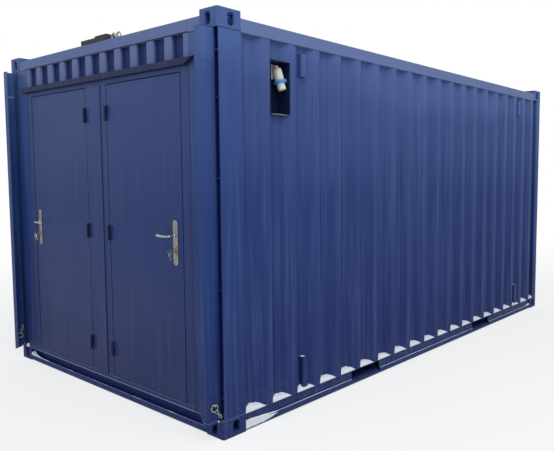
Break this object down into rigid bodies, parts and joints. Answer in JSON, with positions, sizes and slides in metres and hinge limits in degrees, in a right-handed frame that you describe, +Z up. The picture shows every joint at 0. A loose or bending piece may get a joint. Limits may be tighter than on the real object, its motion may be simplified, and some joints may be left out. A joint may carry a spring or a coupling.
{
  "type": "toilet container",
  "caption": "Corrugated steel toilet container: corner castings, fork pockets, twin end doors with lever handles, side power inlet and vent hoods.",
  "frame": {"origin": "centre of the bounding box at ground level", "axes": "X along the length with the door end at -X, +Z up, +Y to the left of someone who faces the doors"},
  "size_m": [4.96, 2.743, 2.604],
  "materials": {
    "casting": "painted, worn",
    "frame_paint": "semi-gloss dark blue",
    "header_paint": "semi-gloss blue, weathered lighter",
    "wall_paint": "semi-gloss dark blue",
    "door_paint": "semi-gloss dark blue",
    "canopy_paint": "semi-gloss dark violet brown",
    "lining": "white faced board",
    "floor_covering": "grey sheet covering on board",
    "bare_steel": "galvanised, dull",
    "hinge_steel": "dark paint",
    "handle_steel": "brushed stainless",
    "cream_plastic": "satin cream",
    "blue_plastic": "gloss blue",
    "dark_plastic": "matt near black"
  },
  "bodies": {
    "frame": {"top_castings": "casting", "bottom_castings": "casting", "front_post_right": "frame_paint", "front_post_left": "frame_paint", "rear_posts": "frame_paint", "front_fin_right": "frame_paint", "front_fin_left": "frame_paint", "fin_rings": "bare_steel", "bottom_rail_right": "frame_paint", "bottom_rail_left": "frame_paint", "top_rail_right": "frame_paint", "top_rail_left": "frame_paint", "front_header": "header_paint", "rear_header": "frame_paint", "front_sill": "frame_paint", "rear_sill": "frame_paint", "side_sheet_right": "wall_paint", "side_sheet_left": "wall_paint", "rear_sheet": "wall_paint", "roof_sheet": "wall_paint", "side_linings": "lining", "rear_lining": "lining", "front_linings": "lining", "ceiling_panel": "lining", "floor_panel": "floor_covering", "cross_members": "frame_paint", "fork_pockets": "frame_paint", "front_side_panels": "wall_paint", "transom_sheet": "wall_paint", "transom_backing": "lining", "door_canopy": "canopy_paint", "door_head": "door_paint", "door_jambs": "door_paint", "centre_post": "door_paint", "centre_cover_strip": "door_paint", "door_threshold": "door_paint", "frame_hinges": "hinge_steel", "inlet_box": "wall_paint", "inlet_housing": "cream_plastic", "inlet_collar": "blue_plastic", "inlet_socket": "cream_plastic", "vent_covers": "wall_paint", "roof_box": "dark_plastic", "roof_rings": "bare_steel"},
    "door_right": {"door_leaf_right": "door_paint", "leaf_hinges_right": "hinge_steel", "handle_plates_right": "handle_steel"},
    "door_left": {"door_leaf_left": "door_paint", "leaf_hinges_left": "hinge_steel", "handle_plates_left": "handle_steel"},
    "lever_right": {"lever_right": "handle_steel"},
    "lever_left": {"lever_left": "handle_steel"}
  },
  "joints": [
    {"name": "door_right_hinge", "type": "hinge", "parent": "frame", "child": "door_right", "pos_m": [-2.409, -0.146, 1.2], "axis": [0, 0, -1], "range_deg": [0, 90]},
    {"name": "door_left_hinge", "type": "hinge", "parent": "frame", "child": "door_left", "pos_m": [-2.409, 0.146, 1.2], "axis": [0, 0, 1], "range_deg": [0, 90]},
    {"name": "lever_right_turn", "type": "hinge", "parent": "door_right", "child": "lever_right", "pos_m": [-2.397, -0.93, 1.226], "axis": [-1, 0, 0], "range_deg": [0, 40], "stiffness_Nm_per_rad": 1.5},
    {"name": "lever_left_turn", "type": "hinge", "parent": "door_left", "child": "lever_left", "pos_m": [-2.397, 0.93, 1.226], "axis": [1, 0, 0], "range_deg": [0, 40], "stiffness_Nm_per_rad": 1.5}
  ]
}
